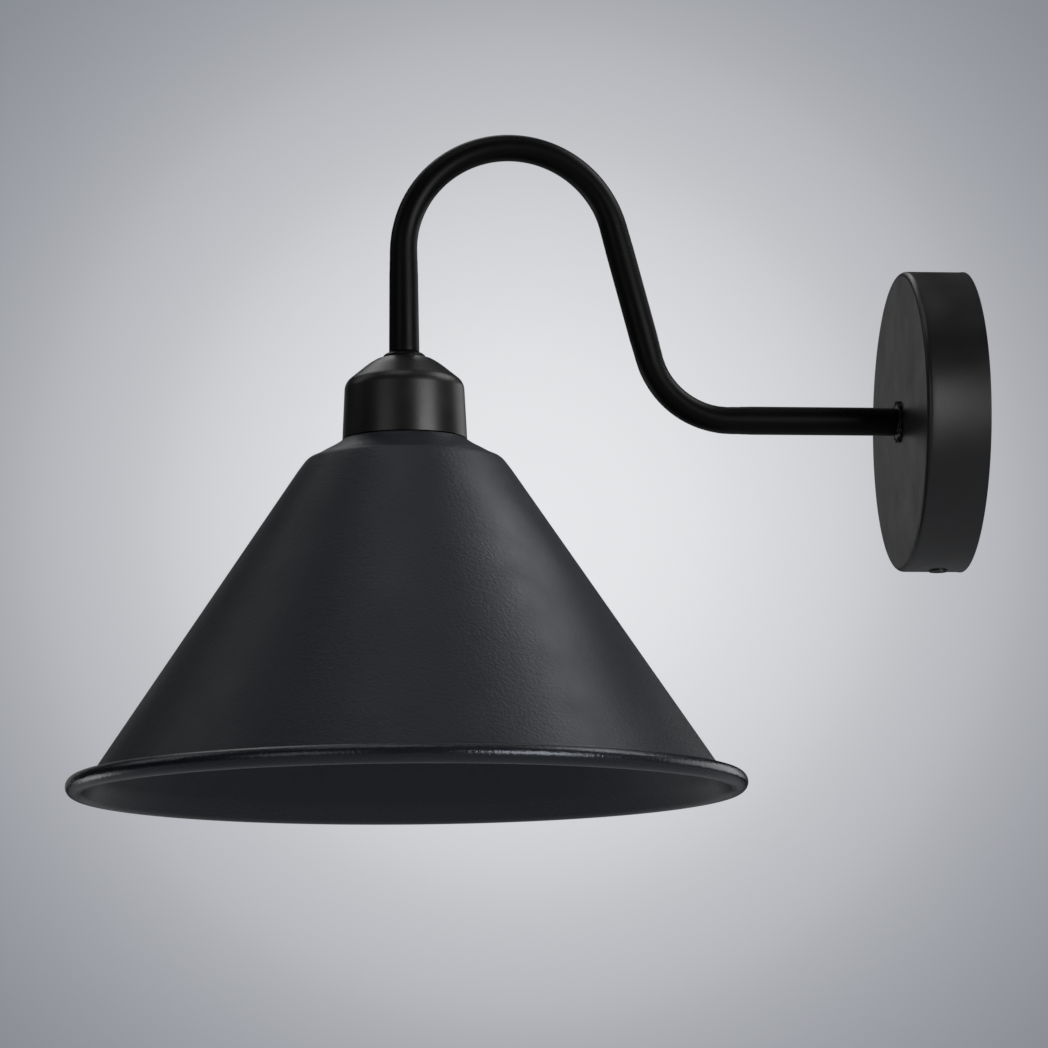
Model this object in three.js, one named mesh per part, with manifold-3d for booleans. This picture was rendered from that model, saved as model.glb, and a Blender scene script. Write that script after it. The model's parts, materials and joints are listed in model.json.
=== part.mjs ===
// Swan-neck wall lamp: a round rose on the wall, a bent tube arm, and a cone shade that hangs mouth down
// under the arm's end. Millimetres, +Z up. The origin is the centre of the bracket's back face, on the
// wall. The wall is the plane x = 0 and the lamp stands out along -X.
import * as THREE from 'three';
import { mergeVertices } from 'three/addons/utils/BufferGeometryUtils.js';
import Module from 'manifold-3d';

const wasm = await Module();
wasm.setup();

// Driving dimensions ---------------------------------------------------------------------------------
const REACH = 223;              // wall to the shade's axis
const ROSE_RADIUS = 60;
const ROSE_DEPTH = 25;
const ROSE_EDGE = 2.2;          // rounding between the rose's front and side
const ROSE_SHEET = 1;
const TUBE_RADIUS = 5.6;
const TUBE_BORE = 4.8;
const TUBE_FLARE = 0.4;         // added to the tube's radius at its foot, over the lampholder
const ARCH_RADIUS = 42.7;       // the arm's upper bend, at the tube's centre line
const ARCH_SPRING = 67;         // height where the arm's upright stretch meets the arch
const SLOPE = THREE.MathUtils.degToRad(75.5);   // the arm's falling stretch, from level
const KNEE_RADIUS = 33;         // the arm's lower bend
const CUP_RADIUS = 24.6;        // at the cup's open foot
const CUP_TOP = 23.8;
const CUP_BASE = -8.7;
const CUP_SHEET = 1;
const SHADE_TOP = -9;           // upper face of the shade's flat top
const SHADE_SHEET = 0.9;
const SHADE_HOLE = 20.6;
const SHOULDER_RADIUS = 39.6;   // where the shallow shoulder turns down into the cone
const SHOULDER_Z = -18.3;
const CONE_FOOT_RADIUS = 125.5; // where the cone turns out into the bead
const CONE_FOOT_Z = -147.4;
const BEAD_RADIUS = 3.7;        // section of the rolled bead
const BEAD_CENTRE = 129.3;      // radius of the bead's centre circle
const BEAD_Z = -145.9;
const THREAD_RADIUS = 4.45;     // M10 x 1 thread, drawn at its root radius
const NIPPLE_BORE = 3.3;
const NIPPLE_GRIP = 11.6;       // how far each nipple runs into the tube's end
const NUT_ACROSS = 14;
const NUT_HEIGHT = 3;
const WIRE_RADIUS = 1;
const WIRE_SPACING = 2.3;       // between the centres of the two wires in the tube
const SKIRT_RADIUS = 20;        // outside of the lampholder's threaded skirt
const SKIRT_FOOT = -37;
const SOCKET_RADIUS = 13.3;     // inside of the brass screw shell
const GAP = 0.2;                // clearance between pieces that rest on each other

// Colours --------------------------------------------------------------------------------------------
const finish = (color, roughness, metalness) => ({ color, roughness, metalness });
const SHADE_PAINT = finish(0x2b2c2f, 0.55, 0.2);
const SATIN_PAINT = finish(0x222222, 0.4, 0.3);
const GLOSS_PAINT = finish(0x0e0e10, 0.25, 0.3);
const ZINC = finish(0xb4b8bc, 0.4, 0.9);
const BRASS = finish(0xb58a3c, 0.35, 0.9);
const PHENOLIC = finish(0x15120f, 0.35, 0);
const CERAMIC = finish(0xe6e2d8, 0.4, 0);
const NYLON = finish(0xdcdcd4, 0.5, 0);
const BROWN_PVC = finish(0x5a3420, 0.5, 0);
const BLUE_PVC = finish(0x2456a4, 0.5, 0);
const EARTH_PVC = finish(0x4f8f3a, 0.5, 0);

// Helpers --------------------------------------------------------------------------------------------
const point = (x, y) => new THREE.Vector2(x, y);

function piece(name, geometry, { color, roughness, metalness }) {
  const mesh = new THREE.Mesh(geometry, new THREE.MeshStandardMaterial({ color, roughness, metalness }));
  mesh.name = name;
  return mesh;
}

function toSolid(geometry) {
  const bare = geometry.clone();
  bare.deleteAttribute('normal');
  bare.deleteAttribute('uv');
  const merged = mergeVertices(bare, 1e-4);
  return new wasm.Manifold(new wasm.Mesh({
    numProp: 3,
    vertProperties: new Float32Array(merged.attributes.position.array),
    triVerts: new Uint32Array(merged.index.array),
  }));
}

function toGeometry(solid) {
  const mesh = solid.getMesh();
  const geometry = new THREE.BufferGeometry();
  geometry.setAttribute('position', new THREE.BufferAttribute(mesh.vertProperties, 3));
  geometry.setIndex(new THREE.BufferAttribute(mesh.triVerts, 1));
  geometry.computeVertexNormals();
  return geometry;
}

const cut = (body, ...tools) =>
  toGeometry(tools.reduce((rest, tool) => rest.subtract(toSolid(tool)), toSolid(body)));

const join = (body, ...others) =>
  toGeometry(others.reduce((sum, other) => sum.add(toSolid(other)), toSolid(body)));

// A solid of revolution about Z from a closed outline of [radius, height] points, in either order.
function turned(outline, sides) {
  const points = outline.map(([radius, height]) => point(radius, height));
  if (THREE.ShapeUtils.area(points) < 0) points.reverse();
  points.push(points[0].clone());
  return new THREE.LatheGeometry(points, sides).rotateX(Math.PI / 2);
}

// A turned ring with square corners.
const ring = (inner, outer, low, high, sides) =>
  turned([[inner, low], [outer, low], [outer, high], [inner, high]], sides);

// A rod along Z.
const rod = (radius, low, high, sides) =>
  new THREE.CylinderGeometry(radius, radius, high - low, sides)
    .rotateX(Math.PI / 2)
    .translate(0, 0, (low + high) / 2);

// A block between two corners.
function block(low, high) {
  const size = high.map((value, axis) => value - low[axis]);
  const centre = high.map((value, axis) => (value + low[axis]) / 2);
  return new THREE.BoxGeometry(...size).translate(...centre);
}

// Points on an arc about (cx, cy), both ends included, angles in radians.
function arc(cx, cy, radius, from, to, steps) {
  return Array.from({ length: steps + 1 }, (_, i) => {
    const angle = from + (to - from) * i / steps;
    return [cx + radius * Math.cos(angle), cy + radius * Math.sin(angle)];
  });
}

// The closed outline of a sheet whose outer face follows the given points; the sheet's body lies on the
// right-hand side of the walk along them.
function sheet(face, thickness) {
  const back = face.map(([x, y], i) => {
    const [ax, ay] = face[Math.max(i - 1, 0)];
    const [bx, by] = face[Math.min(i + 1, face.length - 1)];
    const into = point(x - ax, y - ay).normalize();
    const out = point(bx - x, by - y).normalize();
    if (i === 0) into.copy(out);
    if (i === face.length - 1) out.copy(into);
    const along = into.clone().add(out).normalize();
    const mitre = thickness / Math.max(along.dot(out), 0.5);
    return [x + along.y * mitre, y - along.x * mitre];
  });
  return [...face, ...back.reverse()];
}

// A flat plate of the given shape, from z = low to z = high.
function plate(shape, low, high, curveSegments = 6) {
  return new THREE.ExtrudeGeometry(shape, { depth: high - low, bevelEnabled: false, curveSegments })
    .translate(0, 0, low);
}

const circlePath = (radius) => new THREE.Path().absarc(0, 0, radius, 0, 2 * Math.PI, true);
const circleShape = (radius) => new THREE.Shape().absarc(0, 0, radius, 0, 2 * Math.PI, false);

// A round section swept along a curve.
function swept(curve, radius, bore, sides, steps) {
  const section = circleShape(radius);
  if (bore > 0) section.holes.push(circlePath(bore));
  return new THREE.ExtrudeGeometry(section, {
    steps, bevelEnabled: false, extrudePath: curve, curveSegments: sides / 2,
  });
}

// A hexagon nut on the Z axis, and a slotted screw whose head stands on z = 0 with its shank below.
function nut(low) {
  const corners = arc(0, 0, NUT_ACROSS / Math.sqrt(3), 0, 5 * Math.PI / 3, 5);
  const hexagon = new THREE.Shape(corners.map(([x, y]) => point(x, y)));
  hexagon.holes.push(circlePath(THREAD_RADIUS + 0.1));
  return plate(hexagon, low, low + NUT_HEIGHT, 10);
}

function screw(headRadius, headHeight, shankRadius, shankLength) {
  const body = turned([
    [0, -shankLength], [shankRadius, -shankLength], [shankRadius, 0],
    [headRadius, 0], [headRadius, headHeight * 0.6], [headRadius * 0.8, headHeight], [0, headHeight],
  ], 10);
  const slotHalf = headRadius * 0.13;
  const slot = block([-headRadius, -slotHalf, headHeight * 0.45], [headRadius, slotHalf, headHeight + 1]);
  return cut(body, slot);
}

// The arm's centre line ------------------------------------------------------------------------------
// From the lampholder up the upright stretch, over the arch, down the slope, round the knee and level
// into the rose. Each stretch is [length, signed curvature]; the walk starts at the upright's foot.
const TUBE_FOOT = CUP_TOP + 2.1;
const TUBE_WALL_END = ROSE_DEPTH + 1.4;
const slopeDrop = ARCH_SPRING + ARCH_RADIUS * Math.cos(SLOPE) - KNEE_RADIUS * (1 - Math.cos(SLOPE));
const slopeLength = slopeDrop / Math.sin(SLOPE);
const kneeEnd = -REACH + ARCH_RADIUS * (1 + Math.sin(SLOPE)) + slopeLength * Math.cos(SLOPE)
  + KNEE_RADIUS * Math.sin(SLOPE);
const STRETCHES = [
  [ARCH_SPRING - TUBE_FOOT, 0],
  [ARCH_RADIUS * (Math.PI / 2 + SLOPE), -1 / ARCH_RADIUS],
  [slopeLength, 0],
  [KNEE_RADIUS * SLOPE, 1 / KNEE_RADIUS],
  [-TUBE_WALL_END - kneeEnd, 0],
];
const ARM_LENGTH = STRETCHES.reduce((sum, [length]) => sum + length, 0);

class ArmLine extends THREE.Curve {
  getPoint(t, target = new THREE.Vector3()) {
    let left = t * ARM_LENGTH;
    let heading = Math.PI / 2;
    let x = -REACH;
    let z = TUBE_FOOT;
    for (const [length, curvature] of STRETCHES) {
      const step = Math.min(left, length);
      const turn = step * curvature;
      const chord = curvature ? 2 * Math.sin(turn / 2) / curvature : step;
      x += chord * Math.cos(heading + turn / 2);
      z += chord * Math.sin(heading + turn / 2);
      heading += turn;
      left -= step;
      if (left <= 0) break;
    }
    return target.set(x, 0, z);
  }
}

const armLine = new ArmLine();

// The tube widens slightly down its upright stretch, toward the lampholder.
function flareFoot(geometry) {
  const places = geometry.attributes.position;
  for (let i = 0; i < places.count; i += 1) {
    const x = places.getX(i) + REACH;
    const z = places.getZ(i);
    if (z > ARCH_SPRING || Math.abs(x) > 2 * TUBE_RADIUS) continue;
    const wider = 1 + TUBE_FLARE / TUBE_RADIUS * (ARCH_SPRING - z) / (ARCH_SPRING - TUBE_FOOT);
    places.setX(i, x * wider - REACH);
    places.setY(i, places.getY(i) * wider);
  }
  return geometry;
}

const armTube = piece('arm_tube', flareFoot(swept(armLine, TUBE_RADIUS, TUBE_BORE, 12, 40)), GLOSS_PAINT);

// The supply wires run whole from the terminal block in the rose, through the arm, to the lampholder.
const BLOCK_DEPTH = 7.8;        // wall to the middle of the terminal block's brass sleeves
const BLOCK_WAY = 5;            // the sleeves stand this far either side of the middle
const BLOCK_LOW = 14;
const BLOCK_HIGH = 30;
const TERMINAL_X = 9;           // the lampholder's terminal screws, either side of its axis

function supplyWire(name, side, look) {
  const y = side * WIRE_SPACING / 2;
  const inRose = [
    [-BLOCK_DEPTH, side * BLOCK_WAY, BLOCK_LOW + 4],
    [-BLOCK_DEPTH, side * BLOCK_WAY, BLOCK_LOW - 2],
    [-BLOCK_DEPTH - 0.6, side * (BLOCK_WAY - 1.5), 6.5],
    [-BLOCK_DEPTH - 3.6, side * 2, 1.6],
    [-16, y, 0],
  ].map((xyz) => new THREE.Vector3(...xyz));
  const samples = 32;
  const inArm = Array.from({ length: samples + 1 }, (_, i) => armLine.getPoint(1 - i / samples).setY(y));
  const inHolder = [
    [-REACH, y, 10],
    [-REACH + side * 1.6, side * 1.8, 5],
    [-REACH + side * 5.2, side * 3, 0.2],
    [-REACH + side * TERMINAL_X, side * 3.7, -2.1],
  ].map((xyz) => new THREE.Vector3(...xyz));
  const route = new THREE.CatmullRomCurve3([...inRose, ...inArm, ...inHolder], false, 'centripetal');
  return piece(name, swept(route, WIRE_RADIUS, 0, 6, 64), look);
}

// The rose and all it holds --------------------------------------------------------------------------
// Everything here is drawn with +Z away from the wall and +X up, then turned as one group.
const rose = new THREE.Group();
rose.rotation.y = -Math.PI / 2;

const SIDE_SCREW_OUT = 10.7;    // wall to the side screws
const LUG_FACE = 57.9;          // outer faces of the bracket's lugs, from the middle
const STRAP_HALF = 8;
const STRAP_SHEET = 1.5;
const LUG_OUT = 16;
const EARTH_UP = -17;           // the bracket's earth screw
const BLOCK_FIX_UP = (BLOCK_LOW + BLOCK_HIGH) / 2;

const SLOT_UPS = [44, -42];     // the bracket's slots for the wall screws
const SLOT_HALF = 2.4;
const SLOT_RUN = 6;             // slot's middle to the centre of its rounded end

const sideways = (geometry, up) =>
  geometry.rotateY(Math.sign(up) * Math.PI / 2).translate(up, 0, SIDE_SCREW_OUT);

function wallRose() {
  const front = ROSE_DEPTH;
  const bend = arc(ROSE_RADIUS - ROSE_EDGE, front - ROSE_EDGE, ROSE_EDGE, 0, Math.PI / 2, 3);
  const face = [[ROSE_RADIUS, 0], ...bend, [THREAD_RADIUS + 0.5, front]];
  const shell = turned(sheet(face.reverse(), ROSE_SHEET), 48);
  const holes = [1, -1].map((side) => sideways(rod(2.3, -4, 4, 12), side * (ROSE_RADIUS - ROSE_SHEET)));
  return cut(shell, ...holes);
}

// A strap across the back of the rose with a lug bent out at each end. Its middle is solid; the long
// slots near its ends take the wall screws.
function wallBracket() {
  const bend = 2.5;
  const outer = [
    ...arc(LUG_FACE - bend, bend, bend, -Math.PI / 2, 0, 3),
    [LUG_FACE, LUG_OUT], [LUG_FACE - STRAP_SHEET, LUG_OUT],
    ...arc(LUG_FACE - bend, bend, bend - STRAP_SHEET, 0, -Math.PI / 2, 3),
  ];
  const mirrored = outer.map(([x, z]) => [-x, z]).reverse();
  const section = new THREE.Shape([...outer, ...mirrored].map(([x, z]) => point(x, z)));
  const strap = plate(section, -STRAP_HALF, STRAP_HALF).rotateX(Math.PI / 2);
  const slot = (up) => {
    const shape = new THREE.Shape();
    shape.absarc(up - SLOT_RUN, 0, SLOT_HALF, Math.PI / 2, 3 * Math.PI / 2, false);
    shape.absarc(up + SLOT_RUN, 0, SLOT_HALF, -Math.PI / 2, Math.PI / 2, false);
    return plate(shape, -1, 2 * STRAP_SHEET, 6);
  };
  const small = (up) => rod(1.7, -1, 2 * STRAP_SHEET, 12).translate(up, 0, 0);
  const taps = [1, -1].map((side) => sideways(rod(2.1, -3, 3, 12), side * LUG_FACE));
  return cut(strap, ...SLOT_UPS.map(slot), small(EARTH_UP), small(BLOCK_FIX_UP), ...taps);
}

function sideScrew(side) {
  const length = ROSE_RADIUS - LUG_FACE + STRAP_SHEET + 3;
  return sideways(screw(3.7, 0.5, 2, length), side * (ROSE_RADIUS + GAP / 2));
}

// A washer whose rim is cut into teeth that bite the paint, between the tube's end and the rose.
function toothWasher(low, high) {
  const teeth = 14;
  const rim = [];
  for (let i = 0; i < teeth; i += 1) {
    const pitch = 2 * Math.PI / teeth;
    rim.push(...arc(0, 0, 8.4, i * pitch, (i + 0.5) * pitch, 1));
    rim.push(...arc(0, 0, 7.2, (i + 0.6) * pitch, (i + 0.9) * pitch, 1));
  }
  const shape = new THREE.Shape(rim.map(([x, y]) => point(x, y)));
  shape.holes.push(circlePath(THREAD_RADIUS + 0.3));
  return plate(shape, low, high, 10);
}

// A ring tag on the plane z = 0, with a crimp barrel above it that points down the wall and holds one
// end of the earth lead.
const TAG_SHEET = 0.8;
const BARREL_LENGTH = 3.8;
const BARREL_LIFT = WIRE_RADIUS + 0.7;

function ringTag(hole, rim, barrelStart) {
  const disc = circleShape(rim);
  disc.holes.push(circlePath(hole));
  const barrel = ring(WIRE_RADIUS + 0.15, WIRE_RADIUS + 0.6, -barrelStart - BARREL_LENGTH, -barrelStart, 12)
    .rotateY(Math.PI / 2).translate(0, 0, BARREL_LIFT);
  const tongue = block([-barrelStart - 1, -1.2, 0], [-rim + 0.8, 1.2, TAG_SHEET]);
  return join(plate(disc, 0, TAG_SHEET, 10), tongue, barrel);
}

const TAG_HIGH = ROSE_DEPTH - ROSE_SHEET - GAP;         // outer side of the nipple's earth tag
const WASHER_HIGH = TAG_HIGH - TAG_SHEET - 0.1;
const WASHER_SHEET = 1.2;
const NUT_LOW = WASHER_HIGH - WASHER_SHEET - 0.3 - NUT_HEIGHT;
const BRACKET_TAG_LOW = STRAP_SHEET + 0.1;

function earthLead() {
  const roseEnd = TAG_HIGH - BARREL_LIFT;
  const wallEnd = BRACKET_TAG_LOW + BARREL_LIFT;
  const route = new THREE.CatmullRomCurve3([
    [-12, 0, roseEnd], [-17, 0, roseEnd - 0.3], [-24, 1, roseEnd - 3], [-29.5, 2, 13],
    [-30.5, 1.4, 8], [-28, 0.4, wallEnd + 1], [-24.6, 0, wallEnd], [-22.5, 0, wallEnd],
  ].map((xyz) => new THREE.Vector3(...xyz)), false, 'centripetal');
  return swept(route, WIRE_RADIUS, 0, 6, 28);
}

// The two-way terminal block: a nylon body with a brass sleeve in each way and two clamp screws a sleeve.
const SLEEVE_RADIUS = 2.6;
const BLOCK_SHOULDER = BLOCK_DEPTH + 3.6;               // where the block's two towers rise from
const CLAMP_UPS = [BLOCK_LOW + 4, BLOCK_HIGH - 4];
const alongX = (radius, low, high, sides) => rod(radius, low, high, sides).rotateY(Math.PI / 2);

function terminalBlock() {
  const low = STRAP_SHEET + GAP;
  const high = BLOCK_DEPTH + 6;
  const base = block([BLOCK_LOW, -10.5, low], [BLOCK_HIGH, 10.5, BLOCK_SHOULDER]);
  const towers = [1, -1].map((side) => block(
    [BLOCK_LOW + 1, side * BLOCK_WAY - 3.6, BLOCK_DEPTH], [BLOCK_HIGH - 1, side * BLOCK_WAY + 3.6, high]));
  const ways = [1, -1].map((side) => alongX(SLEEVE_RADIUS + 0.15, BLOCK_LOW - 1, BLOCK_HIGH + 1, 16)
    .translate(0, side * BLOCK_WAY, BLOCK_DEPTH));
  const wells = [1, -1].flatMap((side) => CLAMP_UPS.map((up) =>
    rod(1.9, BLOCK_DEPTH, high + 1, 12).translate(up, side * BLOCK_WAY, 0)));
  const fixing = [rod(1.8, 0, high + 1, 12), rod(3.2, BLOCK_SHOULDER, high + 1, 16)]
    .map((tool) => tool.translate(BLOCK_FIX_UP, 0, 0));
  return cut(join(base, ...towers), ...ways, ...wells, ...fixing);
}

function clampSleeve(side) {
  const body = alongX(SLEEVE_RADIUS, BLOCK_LOW + 1, BLOCK_HIGH - 1, 16);
  const bore = alongX(1.5, BLOCK_LOW, BLOCK_HIGH, 12);
  const taps = CLAMP_UPS.map((up) => rod(1.45, 0, 4, 12).translate(up, 0, 0));
  return cut(body, bore, ...taps).translate(0, side * BLOCK_WAY, BLOCK_DEPTH);
}

const clampScrew = (side, up) =>
  screw(1.7, 1.2, 1.35, 1.6).translate(up, side * BLOCK_WAY, BLOCK_DEPTH + SLEEVE_RADIUS + 0.15);

rose.add(
  piece('wall_rose', wallRose(), SATIN_PAINT),
  piece('wall_bracket', wallBracket(), ZINC),
  piece('rose_screw_upper', sideScrew(1), GLOSS_PAINT),
  piece('rose_screw_lower', sideScrew(-1), GLOSS_PAINT),
  piece('tooth_washer', toothWasher(ROSE_DEPTH + 0.1, ROSE_DEPTH + 1.3), GLOSS_PAINT),
  piece('rose_nipple', ring(NIPPLE_BORE, THREAD_RADIUS, NUT_LOW - 3, TUBE_WALL_END + NIPPLE_GRIP, 20), ZINC),
  piece('earth_tag_rose', ringTag(THREAD_RADIUS + 0.3, 7.6, 9.4)
    .rotateX(Math.PI).translate(0, 0, TAG_HIGH), ZINC),
  piece('rose_washer', ring(THREAD_RADIUS + 0.3, 8.8, WASHER_HIGH - WASHER_SHEET, WASHER_HIGH, 20), ZINC),
  piece('rose_nut', nut(NUT_LOW), ZINC),
  piece('earth_tag_bracket', ringTag(2.2, 4, 4.6).translate(EARTH_UP, 0, BRACKET_TAG_LOW), ZINC),
  piece('earth_screw', screw(3.4, 2, 1.55, 2.2).translate(EARTH_UP, 0, BRACKET_TAG_LOW + 0.9), BRASS),
  piece('earth_lead', earthLead(), EARTH_PVC),
  piece('terminal_block', terminalBlock(), NYLON),
  piece('block_fixing_screw', screw(2.9, 1.6, 1.5, BLOCK_SHOULDER - 0.2)
    .translate(BLOCK_FIX_UP, 0, BLOCK_SHOULDER + 0.1), ZINC),
);
for (const [way, side] of [['live', -1], ['neutral', 1]]) {
  rose.add(piece(`clamp_sleeve_${way}`, clampSleeve(side), BRASS));
  for (const [end, up] of [['lamp', CLAMP_UPS[0]], ['supply', CLAMP_UPS[1]]]) {
    rose.add(piece(`clamp_screw_${way}_${end}`, clampScrew(side, up), ZINC));
  }
}

// The lampholder, its cup and the shade --------------------------------------------------------------
// Everything here is drawn about the shade's axis.
const holder = new THREE.Group();
holder.position.x = -REACH;

function holderCup() {
  const face = [
    [THREAD_RADIUS + 0.4, CUP_TOP], [8.8, CUP_TOP], [10.3, CUP_TOP - 0.3],
    [11.7, 22.9], [14.4, 21.15], [17.2, 18.95],
    ...arc(17.7, 10.8, 6, 0.93, 0.04, 4), [CUP_RADIUS, CUP_BASE],
  ];
  return turned(sheet(face, CUP_SHEET), 36);
}

// The upper housing screws onto the nipple and closes the lampholder's wiring space.
const DOME_TOP = 19;
const DOME_FOOT = -2.5;

function holderDome() {
  return turned([
    [THREAD_RADIUS + 0.1, DOME_TOP], [8, DOME_TOP], [8.4, 16.9], [14, 15.8], [18.8, 12], [20, 9.4],
    [20, DOME_FOOT], [17.7, DOME_FOOT], [17.7, 8.4], [12.6, 13.4], [THREAD_RADIUS + 0.1, 13.4],
  ], 24);
}

// The lower housing: a spigot into the dome, a flange that lies on the shade's top, and the skirt that
// carries the shade ring's thread, drawn plain at the thread's crest.
const FLANGE_FOOT = SHADE_TOP + 0.1;

function holderSkirt() {
  return turned([
    [15.9, 1.5], [17.5, 1.5], [17.5, DOME_FOOT - GAP], [22.4, DOME_FOOT - GAP], [22.4, FLANGE_FOOT],
    [SKIRT_RADIUS, FLANGE_FOOT], [SKIRT_RADIUS, SKIRT_FOOT + 1.5], [SKIRT_RADIUS - 1.5, SKIRT_FOOT],
    [15.2, SKIRT_FOOT], [14.6, SKIRT_FOOT + 1.2], [14.6, -32], [15.2, -31.8], [15.2, -12.9], [15.9, -12.7],
  ], 28);
}

// The insert carries the contacts: a pocket and a bore on its axis for the sprung centre contact, a
// blind hole under each terminal screw, and a slot for the side contact.
const INSERT_TOP = -4.5;
const INSERT_FOOT = -12.5;
const POCKET_TOP = -7.5;
const SIDE_STRIP = [12.2, 12.8];

function contactInsert() {
  const body = turned([
    [2.1, INSERT_TOP], [15.7, INSERT_TOP], [15.7, INSERT_FOOT],
    [4, INSERT_FOOT], [4, POCKET_TOP], [2.1, POCKET_TOP],
  ], 24);
  const blind = [1, -1].map((side) => rod(1.6, -10, 0, 12).translate(side * TERMINAL_X, 0, 0));
  const slot = block([SIDE_STRIP[0] - 0.2, -2.7, -20], [SIDE_STRIP[1] + 0.2, 2.7, 0]);
  return cut(body, ...blind, slot);
}

// The screw shell: thin sheet rolled to the lamp cap's round thread, open at both ends.
const SHELL_SHEET = 0.4;

function screwShell() {
  const top = -13.2;
  const foot = -31;
  const turns = 3;
  const steps = turns * 4;
  const swell = 0.55;
  const face = Array.from({ length: steps + 1 }, (_, i) => {
    const wave = (1 - Math.cos(2 * Math.PI * turns * i / steps)) / 2;
    return [SOCKET_RADIUS + SHELL_SHEET + 0.1 + swell * wave, top + (foot - top) * i / steps];
  });
  return turned(sheet(face, SHELL_SHEET), 20);
}

const BUTTON_HEAD_TOP = -13;

function centreContact() {
  return turned([
    [0, -15.6], [2.6, -15.4], [3.5, -14.6], [3.5, BUTTON_HEAD_TOP], [1.7, BUTTON_HEAD_TOP],
    [1.7, -3.2], [3, -3.2], [3, -2.5], [0, -2.5],
  ], 16);
}

class SpringLine extends THREE.Curve {
  getPoint(t, target = new THREE.Vector3()) {
    const turns = 4;
    const angle = 2 * Math.PI * turns * t;
    const low = BUTTON_HEAD_TOP + 0.55;
    const high = POCKET_TOP - 0.55;
    return target.set(2.75 * Math.cos(angle), 2.75 * Math.sin(angle), low + (high - low) * t);
  }
}

// Brass strips from the terminal screws: one rings the centre contact's stem, the other turns down
// through the insert to the side of the screw shell.
const STRIP_LOW = INSERT_TOP + 0.1;
const STRIP_HIGH = STRIP_LOW + 1;

function centreTerminal() {
  const strip = block([-TERMINAL_X - 3, -2.6, STRIP_LOW], [2.9, 2.6, STRIP_HIGH]);
  return cut(strip, rod(2.1, -6, 0, 16), rod(1.6, -6, 0, 12).translate(-TERMINAL_X, 0, 0));
}

function sideContact() {
  const level = block([TERMINAL_X - 3, -2.4, STRIP_LOW], [SIDE_STRIP[1], 2.4, STRIP_HIGH]);
  const leg = block([SIDE_STRIP[0], -2.4, -17], [SIDE_STRIP[1], 2.4, STRIP_LOW + 0.5]);
  return cut(join(level, leg), rod(1.6, -6, 0, 12).translate(TERMINAL_X, 0, 0));
}

// The shade ring: a threaded collar under the shade's top with a finger-grip flange.
const RING_TOP = SHADE_TOP - SHADE_SHEET - 0.1;

function shadeRing() {
  const body = turned([
    [SKIRT_RADIUS + 0.1, RING_TOP], [23.6, RING_TOP], [23.6, RING_TOP - 3.6], [26.2, RING_TOP - 4.2],
    [26.2, RING_TOP - 7], [25.6, RING_TOP - 7.6], [SKIRT_RADIUS + 0.1, RING_TOP - 7.6],
  ], 36);
  const grips = Array.from({ length: 12 }, (_, i) => rod(1.4, -30, RING_TOP - 4, 8)
    .translate(26.8, 0, 0).rotateZ(i * Math.PI / 6));
  return cut(body, ...grips);
}

// The shade: a flat top on the lampholder's flange, a shallow shoulder with a soft step, the cone, and a
// rim rolled outward into a bead that stops just short of the cone. The walk follows the outer face,
// which becomes the inside of the roll.
function shadeBody() {
  const rollStart = 4 * Math.PI / 3;
  const rollEnd = 3 * Math.PI;
  const face = [
    [SHADE_HOLE, SHADE_TOP], [24.4, SHADE_TOP], [27, -11], [31.6, -13.4], [36.2, -16.2], [38.3, -16.9],
    [SHOULDER_RADIUS, SHOULDER_Z], [42.4, -22], [CONE_FOOT_RADIUS, CONE_FOOT_Z],
    ...arc(BEAD_CENTRE, BEAD_Z, BEAD_RADIUS - SHADE_SHEET, rollStart, rollEnd, 9),
  ];
  return turned(sheet(face, SHADE_SHEET), 48);
}

holder.add(
  piece('collar_washer', turned([[THREAD_RADIUS + 0.3, CUP_TOP + 0.1], [8.4, CUP_TOP + 0.1],
    [8.4, CUP_TOP + 0.9], [7.4, CUP_TOP + 2], [THREAD_RADIUS + 0.3, CUP_TOP + 2]], 24), GLOSS_PAINT),
  piece('holder_cup', holderCup(), SATIN_PAINT),
  piece('holder_nipple', ring(NIPPLE_BORE, THREAD_RADIUS, DOME_TOP - 6.5, TUBE_FOOT + NIPPLE_GRIP, 20), ZINC),
  piece('cup_nut', nut(CUP_TOP - CUP_SHEET - GAP - NUT_HEIGHT), ZINC),
  piece('holder_dome', holderDome(), PHENOLIC),
  piece('holder_skirt', holderSkirt(), PHENOLIC),
  piece('contact_insert', contactInsert(), CERAMIC),
  piece('screw_shell', screwShell(), BRASS),
  piece('centre_contact', centreContact(), BRASS),
  piece('contact_spring', swept(new SpringLine(), 0.35, 0, 4, 40), ZINC),
  piece('centre_terminal', centreTerminal(), BRASS),
  piece('side_contact', sideContact(), BRASS),
  piece('terminal_screw_centre', screw(2.4, 1.5, 1.4, 5).translate(-TERMINAL_X, 0, STRIP_HIGH + 0.1), ZINC),
  piece('terminal_screw_side', screw(2.4, 1.5, 1.4, 5).translate(TERMINAL_X, 0, STRIP_HIGH + 0.1), ZINC),
  piece('shade_ring', shadeRing(), PHENOLIC),
  piece('shade', shadeBody(), SHADE_PAINT),
);

const lamp = new THREE.Group();
lamp.add(
  rose,
  armTube,
  supplyWire('live_wire', -1, BROWN_PVC),
  supplyWire('neutral_wire', 1, BLUE_PVC),
  holder,
);

export default lamp;
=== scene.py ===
import json
import math

import bmesh
import bpy
from mathutils import Matrix, Vector

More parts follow.
